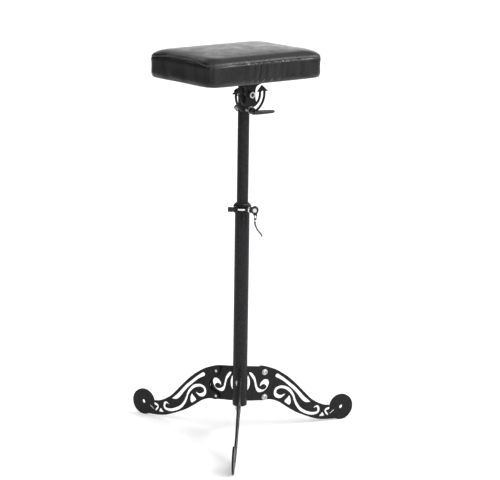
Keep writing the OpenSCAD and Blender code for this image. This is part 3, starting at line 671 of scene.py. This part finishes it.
def dress(obj):
    """Pushes seam groove, puckers, folds, corner gathers and soft unevenness along the surface."""
    co = coords(obj)
    no = normals(obj)
    x, y, z = co.T
    seam = seam_height(x, y)
    flat = np.hypot(no[:, 0], no[:, 1])
    side = ease(flat, 0.5, 0.95)
    below = ease(seam - z, 0.0005, 0.004)
    fade = below * ease(z, 0.001, 0.009)
    front = ease(-no[:, 1], 0.75, 0.95)
    rear = ease(no[:, 1], 0.75, 0.95)
    ends = ease(np.abs(no[:, 0]), 0.75, 0.95)
    corner = ease(np.minimum(np.abs(no[:, 0]), np.abs(no[:, 1])), 0.12, 0.45) * ease(flat, 0.5, 0.9)
    top = ease(no[:, 2], 0.6, 0.95)

    push = -GROOVE * bell(z, seam - 0.0012, 0.0026) * ease(flat, 0.2, 0.6)
    push += front * fade * (front_puckers(x, z, seam) + corner_folds(x, z))
    push += rear * fade * leaning_folds(REAR_FOLDS, x, z)
    push += ends * fade * leaning_folds(END_FOLDS, y, z)
    push += corner * PLEAT * corner_pleats(x, y, z) * (0.3 * fade + 0.7 * bell(z, seam, 0.010))
    broad = waves(co * [1, 1, 0.6], seed=3, scale=0.075)
    fine = waves(co * [1, 1, 0.5], seed=4, scale=0.028)
    push += BROAD * broad * (1 - 0.85 * top) * ease(z, 0.001, 0.01)
    push += FINE * fine * side * below
    co = co + no * push[:, None]
    co[:, 2] = np.maximum(co[:, 2], LOWEST)
    set_coords(obj, co)


def seam_path(obj, lift, count=420):
    """Points on the cover along its seam, all the way round, found by rays from outside."""
    tree = BVHTree.FromObject(obj, bpy.context.evaluated_depsgraph_get())
    ring = outline(0.0, count)
    path = []
    for k in range(count):
        d = ring[(k + 1) % count] - ring[k - 1]
        outward = np.array([d[1], -d[0]])
        outward /= np.linalg.norm(outward)
        start = ring[k] + outward * 0.05
        z = float(seam_height(ring[k][:1], ring[k][1:])[0])
        hit, _, _, _ = tree.ray_cast(Vector((*start, z)), Vector((*-outward, 0)), 0.2)
        p = np.array(hit[:2]) if hit else ring[k]
        path.append((*(p + outward * lift), z))
    path = np.array(path)
    for _ in range(3):
        path = (np.roll(path, 1, 0) + 2 * path + np.roll(path, -1, 0)) / 4
    return path


# The cover starts this much smaller where it is filled afterwards
FILL_ROOM = 0.0006
COVER_VOXEL = 0.0042
PIPING_R = 0.0019


def add_cover():
    """The leather cover; gives the path of its seam, in the cushion's own frame."""
    shrink = FILL_ROOM
    cover = piece("cushion_cover", *cushion_start(shrink), LEATHER, "cover")
    remesh(cover, COVER_VOXEL)
    fill(cover, pressure=4.0, out_cap=0.0016, in_cap=0.0004)
    finer = cover.modifiers.new("finer", "SUBSURF")
    finer.levels = finer.render_levels = 1
    apply_modifiers(cover)
    dress(cover)
    path = seam_path(cover, lift=-0.0001)
    cover.data.transform(SEAT)
    cover.data.update()
    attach(cover, "head")
    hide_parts("cushion")
    return path


def add_piping(path):
    piping = piece("cushion_piping", *round_bar(path, PIPING_R), PIPING, "cover")
    piping.data.transform(SEAT)
    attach(piping, "head")


# Dust cloth: distance in from the outline and height of its rim, hem and flat part
CLOTH_ROWS = ((0.030, -0.00005), (0.0335, -0.0006), (0.06, -0.0005))
CLOTH_UPPER_Z = 0.0003


def add_dust_cloth():
    """The thin cloth under the board: a hemmed rim, a flat middle and a plain upper face."""
    n = 160
    verts = []
    for inset, z in CLOTH_ROWS:
        verts += [(x, y, z) for x, y in outline(inset, n)]
    verts.append((0, 0, CLOTH_ROWS[-1][1]))
    verts += [(x, y, CLOTH_UPPER_Z) for x, y in outline(CLOTH_ROWS[0][0], n)]
    verts.append((0, 0, CLOTH_UPPER_Z))
    faces = ring_faces(len(CLOTH_ROWS), n)
    low_middle = len(CLOTH_ROWS) * n
    flat = low_middle - n
    upper = low_middle + 1
    upper_middle = upper + n
    for j in range(n):
        k = (j + 1) % n
        faces.append((flat + j, flat + k, low_middle))
        faces.append((j, upper + j, upper + k, k))
        faces.append((upper + j, upper_middle, upper + k))
    cloth = piece("cushion_dust_cloth", verts, faces, CLOTH, "cover")
    cloth.data.transform(SEAT)
    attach(cloth, "head")


add_piping(add_cover())
add_dust_cloth()


# Adjusting nut: bore, flange, cone and a straight-knurled barrel with a bevelled end
NUT_PROFILE = [(0.0027, 0.0, 0), (0.0066, 0.0, 0), (0.0068, 0.0003, 0), (0.0068, 0.0008, 0),
               (0.0063, 0.0012, 0), (0.0052, 0.0036, 0), (0.0050, 0.0042, 0), (0.0054, 0.0048, 0.3),
               (0.0055, 0.0053, 1), (0.0055, 0.0080, 1), (0.0055, 0.0110, 1), (0.0055, 0.0136, 1),
               (0.0053, 0.0142, 0.5), (0.0047, 0.0148, 0), (0.0027, 0.0148, 0)]
NUT_RIBS, RIB_DEPTH = 22, 0.00045
# Middle of the nut's flange, on the clamp rod and against the left ear
NUT_AT = (-0.01445, -0.0235, 0.514)


def add_nut():
    knurled = turned(NUT_PROFILE, 8 * NUT_RIBS, NUT_RIBS, RIB_DEPTH)
    nut = piece("clamp_nut_knurled", *knurled, PLASTIC, "black_plastic")
    nut.data.transform(CLAMP @ Matrix.Translation(NUT_AT) @ rotation(-90, "Y"))
    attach(nut, "clamp_nut")
    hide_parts("clamp_nut")
    edges = nut.modifiers.new("edges", "EDGE_SPLIT")
    edges.split_angle = math.radians(40)


add_nut()


# Tilt lever: a hub on the clamp stud, and a handle that tapers from near its root to a rounded end
STUD_Z = 0.7295
# Place along Y of the hub's face against the stud's washer
HUB_FACE = -0.025
HUB_PROFILE = [(0.0001, 0, 0), (0.0067, 0, 0), (0.0069, 0.0004, 0), (0.0065, 0.0072, 0),
               (0.0061, 0.0080, 0), (0.0001, 0.0080, 0)]
HANDLE_ROOT = (0, -0.029, -0.0052)
# Degrees from straight up, and about the post
HANDLE_TILT, HANDLE_SWING = 91, -6
# Radius and distance along the handle
HANDLE_ROWS = [(0.0, 0.0), (0.0038, 0.0), (0.0046, 0.004), (0.0047, 0.012), (0.0046, 0.024),
               (0.0043, 0.036), (0.0038, 0.046), (0.0035, 0.051), (0.0032, 0.0540), (0.0023, 0.0562),
               (0.0, 0.0570)]
INSERT_R = 0.00535
BORE_FROM, BORE_TO = -0.040, -0.020
LEVER_VOXEL = 0.00045


def handle(sides=32):
    """The handle before it joins the hub, along Z from its root."""
    verts = []
    for radius, along in HANDLE_ROWS:
        r = max(radius, 1e-5)
        for j in range(sides):
            a = 2 * math.pi * j / sides
            verts.append((r * math.cos(a), r * math.sin(a), along))
    return verts, ring_faces(len(HANDLE_ROWS), sides) + end_caps(len(HANDLE_ROWS), sides)


def add_lever():
    """Hub and handle, run into each other by a remesh and a little melting, with the insert's bore."""
    hub_verts, hub_faces = turned(HUB_PROFILE, 64)
    arm_verts, arm_faces = handle()
    hub_place = Matrix.Translation((0, HUB_FACE, 0)) @ rotation(90, "X")
    arm_turn = rotation(HANDLE_SWING, "Z") @ rotation(HANDLE_TILT, "Y")
    arm_place = Matrix.Translation(HANDLE_ROOT) @ arm_turn
    verts = [hub_place @ Vector(v) for v in hub_verts] + [arm_place @ Vector(v) for v in arm_verts]
    faces = hub_faces + shifted(arm_faces, len(hub_verts))
    lever = piece("tilt_lever_grip", verts, faces, PLASTIC, "black_plastic")
    remesh(lever, LEVER_VOXEL)
    melt = lever.modifiers.new("melt", "SMOOTH")
    melt.factor, melt.iterations = 0.5, 6
    through = np.array([(0, BORE_FROM, 0), (0, BORE_TO, 0)])
    drill = piece("bore", *round_bar(through, INSERT_R, 48, closed=False), PLASTIC)
    bore = lever.modifiers.new("bore", "BOOLEAN")
    bore.object = drill
    bore.operation = "DIFFERENCE"
    apply_modifiers(lever)
    bpy.data.objects.remove(drill)
    lever.data.transform(HEAD @ Matrix.Translation((0, 0, STUD_Z)))
    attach(lever, "tilt_lever")
    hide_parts("tilt_lever")


add_lever()


# Weld beads between the lower tube and its three wings, under the same coat
WELD_LOW, WELD_TOP, WELD_STEPS = 0.0835, 0.1465, 64
# Distance from the post's axis, and from the middle of the wing's plate
WELD_AT = (0.01630, 0.0025)
WELD_R, WELD_RIPPLE, WELD_PITCH, WELD_UNEVEN = 0.00125, 0.00022, 0.0031, 0.00006
# Radius at each end of a bead, and one step in from there
TIP_R, NECK_R = 0.0004, 0.0009


def add_welds():
    verts, faces = [], []
    heights = np.linspace(WELD_LOW, WELD_TOP, WELD_STEPS)
    x, y = WELD_AT
    for degrees in LEG_DEGREES:
        for side in (-1, 1):
            ripple = WELD_RIPPLE * np.sin(heights * 2 * math.pi / WELD_PITCH + side)
            radii = WELD_R + ripple + rng.uniform(-WELD_UNEVEN, WELD_UNEVEN, WELD_STEPS)
            radii[0] = radii[-1] = TIP_R
            radii[1] = radii[-2] = NECK_R
            bead_verts, bead_faces = upright_bead(heights, radii, x, side * y)
            faces += shifted(bead_faces, len(verts))
            verts += [rotation(degrees, "Z") @ Vector(p) for p in bead_verts]
    welds = piece("wing_welds", verts, faces, COAT, "painted_steel")
    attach(welds, "base")


add_welds()


# Floor, and half the length of its side
FLOOR = 60


def studio_floor():
    """Pale floor with a faint glow, and painted shade far out at the left, right and front, where it turns a
    soft grey.
    """
    s = Shader("floor_white", Roughness=0.9, Specular_IOR_Level=0.0)
    place = s.add("ShaderNodeSeparateXYZ", {"Vector": s.coord})
    x, y = place.outputs["X"], place.outputs["Y"]
    # Painted shade: far out at the left, front and right the floor turns a soft grey without glow, so the
    # stand reflects darkness from there
    left = s.span(x, -4.3, -1.9, 1.0, 0.0)
    front = s.math("MULTIPLY", s.span(y, -4.8, -2.0, 1.0, 0.0), s.span(x, 0.4, 2.2, 1.0, 0.0))
    right = s.math("MULTIPLY", s.span(x, 2.0, 5.0, 0.0, 1.0), s.span(y, -2.6, -1.0, 0.0, 1.0))
    grey = s.math("MAXIMUM", s.math("MAXIMUM", left, front), right)
    pale = s.mix(s.span(s.noise(scale=3, detail=3), 0.3, 0.7, 0, 1), (0.93, 0.93, 0.93), (0.95, 0.95, 0.95))
    s.put(s.bsdf, "Base Color", s.mix(grey, pale, (0.29, 0.29, 0.29)))
    s.put(s.bsdf, "Emission Color", (1, 1, 1))
    glow = s.span(y, 0.3, 6.0, 0.13, 0.24)
    s.put(s.bsdf, "Emission Strength", s.math("MULTIPLY", glow, s.span(grey, 0.0, 1.0, 1.0, 0.0)))
    return s.done()


floor_corners = [(-FLOOR, -FLOOR, 0), (FLOOR, -FLOOR, 0), (FLOOR, FLOOR, 0), (-FLOOR, FLOOR, 0)]
floor = piece("floor", floor_corners, [(0, 1, 2, 3)], studio_floor(), shade_smooth=False)


# Light
def studio_world():
    """Plain white surroundings: bright behind the stand and above the camera, dimmest at the left."""
    world = bpy.data.worlds.new("studio")
    scene.world = world
    world.use_nodes = True
    tree = world.node_tree
    direction = tree.nodes.new("ShaderNodeTexCoord").outputs["Generated"]

    def towards(aim):
        node = tree.nodes.new("ShaderNodeVectorMath")
        node.operation = "DOT_PRODUCT"
        node.inputs[1].default_value = aim
        tree.links.new(direction, node.inputs[0])
        return node.outputs["Value"]

    def span(value, low, high, out_low, out_high):
        node = tree.nodes.new("ShaderNodeMapRange")
        tree.links.new(value, node.inputs["Value"])
        for key, number in (("From Min", low), ("From Max", high), ("To Min", out_low), ("To Max", out_high)):
            node.inputs[key].default_value = number
        return node.outputs["Result"]

    def total(a, b):
        node = tree.nodes.new("ShaderNodeMath")
        node.operation = "ADD"
        tree.links.new(a, node.inputs[0])
        tree.links.new(b, node.inputs[1])
        return node.outputs[0]

    behind = span(towards((0.36, 0.933, 0.0)), 0.74, 0.96, 0.0, 1.75)
    ahead = span(towards((0.35, -0.60, 0.72)), 0.0, 1.0, 0.0, 1.44)
    around = span(towards((1.0, 0.0, 0.0)), -1.0, 1.0, 0.114, 0.274)
    background = tree.nodes["Background"]
    tree.links.new(total(total(behind, ahead), around), background.inputs["Strength"])
    background.inputs["Color"].default_value = (1, 1, 1, 1)


def softbox(name, at, aim, size, watts):
    """A rectangular light that faces the point aim."""
    data = bpy.data.lights.new(name, "AREA")
    data.shape = "RECTANGLE"
    data.size, data.size_y = size
    data.energy = watts
    obj = bpy.data.objects.new(name, data)
    scene.collection.objects.link(obj)
    obj.location = at
    obj.rotation_euler = (Vector(aim) - Vector(at)).to_track_quat("-Z", "Y").to_euler()


studio_world()
softbox("key", at=(2.3, -1.5, 2.9), aim=(0, 0, 0.7), size=(0.8, 0.9), watts=26)
softbox("strip", at=(2.28, 0.06, 2.05), aim=(0, 0, 0.85), size=(1.0, 0.55), watts=20)
softbox("rim", at=(-1.6, 2.6, 2.4), aim=(0, 0, 0.8), size=(1.6, 1.6), watts=6.8)
scene.view_settings.view_transform = "Standard"
